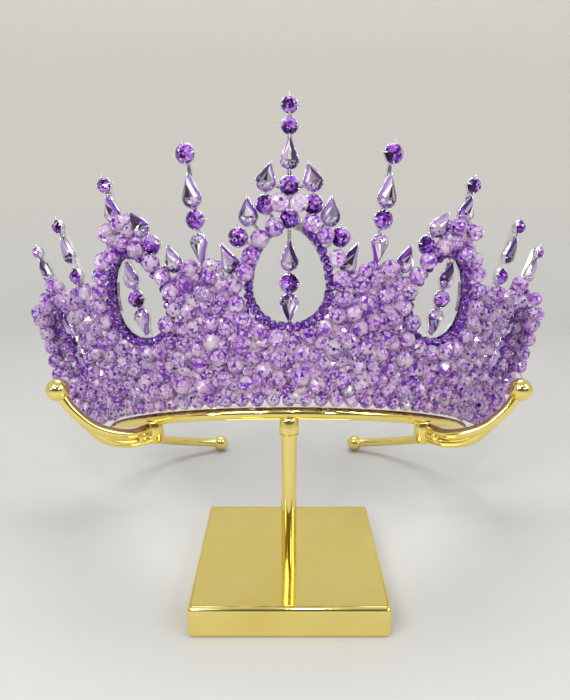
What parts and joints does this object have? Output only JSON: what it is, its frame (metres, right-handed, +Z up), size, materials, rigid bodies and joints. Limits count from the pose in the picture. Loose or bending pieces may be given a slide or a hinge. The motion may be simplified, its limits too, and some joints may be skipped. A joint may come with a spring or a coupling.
{
  "type": "rhinestone tiara on display stand",
  "caption": "Open flared tiara of lilac crystal beads with spires of round and pear cut stones and open oval cells, resting on a gold ring cradle, post and square base.",
  "frame": {"origin": "centre of the base plate's underside", "axes": "+Z up, the tiara's front faces -Y, +X to the viewer's right"},
  "size_m": [0.209, 0.1372, 0.1532],
  "materials": {
    "gold": "polished gold plate",
    "silver": "polished silver plate",
    "bead": "clear lilac faceted",
    "string_bead": "deep violet faceted",
    "dark_stone": "foil backed violet cut stone",
    "pale_stone": "foil backed pale lavender cut stone"
  },
  "bodies": {
    "root": {"base_plate": "gold", "bead_field_left": "bead", "bead_field_right": "bead", "cheek_round_left": "dark_stone", "cheek_round_right": "dark_stone", "collar": "gold", "column_knot_left": "dark_stone", "column_knot_right": "dark_stone", "column_pear_left": "pale_stone", "column_pear_right": "pale_stone", "column_point_left": "pale_stone", "column_point_right": "pale_stone", "column_round_left": "dark_stone", "column_round_right": "dark_stone", "cradle": "gold", "crest_pear_left": "pale_stone", "crest_pear_right": "pale_stone", "drop_pear": "pale_stone", "drop_point": "pale_stone", "drop_round": "dark_stone", "flank_pear_left": "pale_stone", "flank_pear_right": "pale_stone", "heart_round": "dark_stone", "keystone_round": "dark_stone", "neck_round": "dark_stone", "outer_column_left": "pale_stone", "outer_column_right": "pale_stone", "outer_drop_left": "pale_stone", "outer_drop_right": "pale_stone", "outer_spire_left": "pale_stone", "outer_spire_right": "pale_stone", "post": "gold", "shoulder_pear_left": "pale_stone", "shoulder_pear_right": "pale_stone", "shoulder_round_left": "dark_stone", "shoulder_round_right": "dark_stone", "side_crest_left": "pale_stone", "side_crest_right": "pale_stone", "side_drop_pear_left": "pale_stone", "side_drop_pear_right": "pale_stone", "side_drop_point_left": "pale_stone", "side_drop_point_right": "pale_stone", "side_drop_round_left": "dark_stone", "side_drop_round_right": "dark_stone", "side_flank_left": "pale_stone", "side_flank_right": "pale_stone", "side_pear_left": "pale_stone", "side_pear_right": "pale_stone", "side_round_left": "dark_stone", "side_round_right": "dark_stone", "side_top_left": "dark_stone", "side_top_right": "dark_stone", "spire_pear": "pale_stone", "string_centre": "string_bead", "string_outer_left": "string_bead", "string_outer_right": "string_bead", "string_side_left": "string_bead", "string_side_right": "string_bead", "tiara_frame": "silver", "top_round": "dark_stone"}
  },
  "joints": []
}
